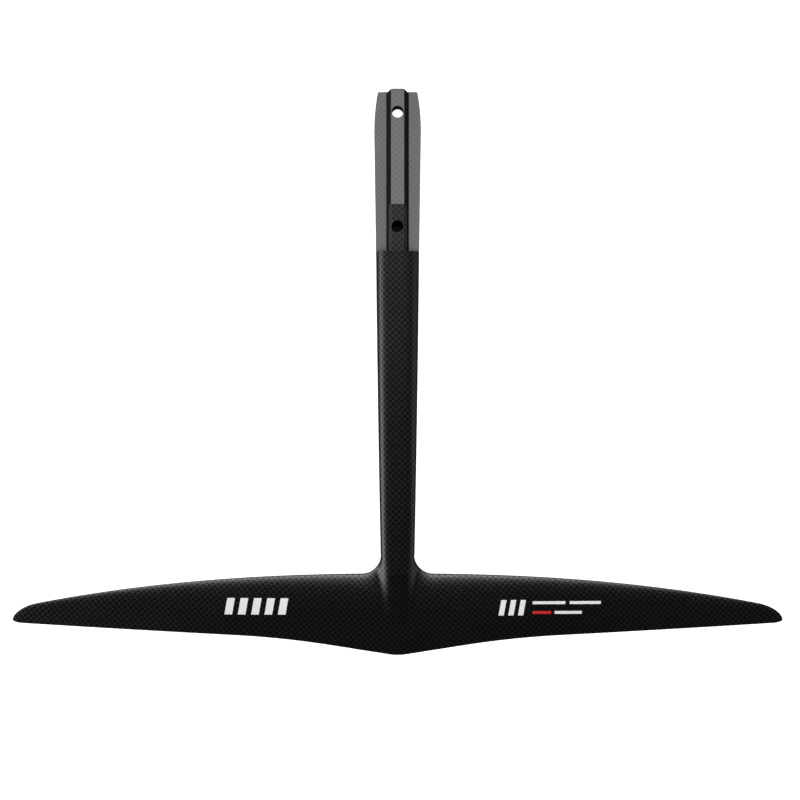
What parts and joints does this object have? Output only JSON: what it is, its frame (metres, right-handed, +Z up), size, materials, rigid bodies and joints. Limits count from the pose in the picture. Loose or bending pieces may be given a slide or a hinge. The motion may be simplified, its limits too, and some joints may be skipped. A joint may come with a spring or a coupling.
{
  "type": "hydrofoil tail wing",
  "caption": "One-piece moulded carbon hydrofoil tail: a slender rear fuselage with a bolted tenon in front and a long, narrow stabiliser wing behind.",
  "frame": {"origin": "axis of the front bolt hole, on the parting plane of the two skins, which is also the tenon's deck", "axes": "+X along the span to starboard, +Y forward to the tenon's nose, +Z up along the bolt axes"},
  "size_m": [0.42, 0.3039, 0.022],
  "materials": {
    "glossy_carbon": "plain-weave carbon under a clear coat",
    "sanded_carbon": "sanded bare laminate, matt grey",
    "solid_carbon": "pressed laminate, uncoated",
    "unidirectional_carbon": "straight fibres along the length",
    "foam": "closed-cell foam, dull",
    "filler": "cured structural paste",
    "black_steel": "black oxide",
    "white_print": "thin print under the clear coat",
    "red_print": "thin print under the clear coat"
  },
  "bodies": {
    "root": {"upper_skin": "glossy_carbon", "lower_skin": "glossy_carbon", "tenon_block": "sanded_carbon", "rear_thread_insert": "black_steel", "boom_core": "foam", "boom_cap_upper": "unidirectional_carbon", "boom_cap_lower": "unidirectional_carbon", "root_block": "solid_carbon", "wing_spar_cap_upper": "unidirectional_carbon", "wing_spar_cap_lower": "unidirectional_carbon", "wing_core_left": "foam", "wing_core_right": "foam", "leading_edge_bead_left": "filler", "leading_edge_bead_right": "filler", "trailing_edge_bead_left": "filler", "trailing_edge_bead_right": "filler", "mark_left": "white_print", "mark_right_block": "white_print", "mark_right_long_bar": "white_print", "mark_right_red_bar": "red_print", "mark_right_short_bar": "white_print"}
  },
  "joints": []
}
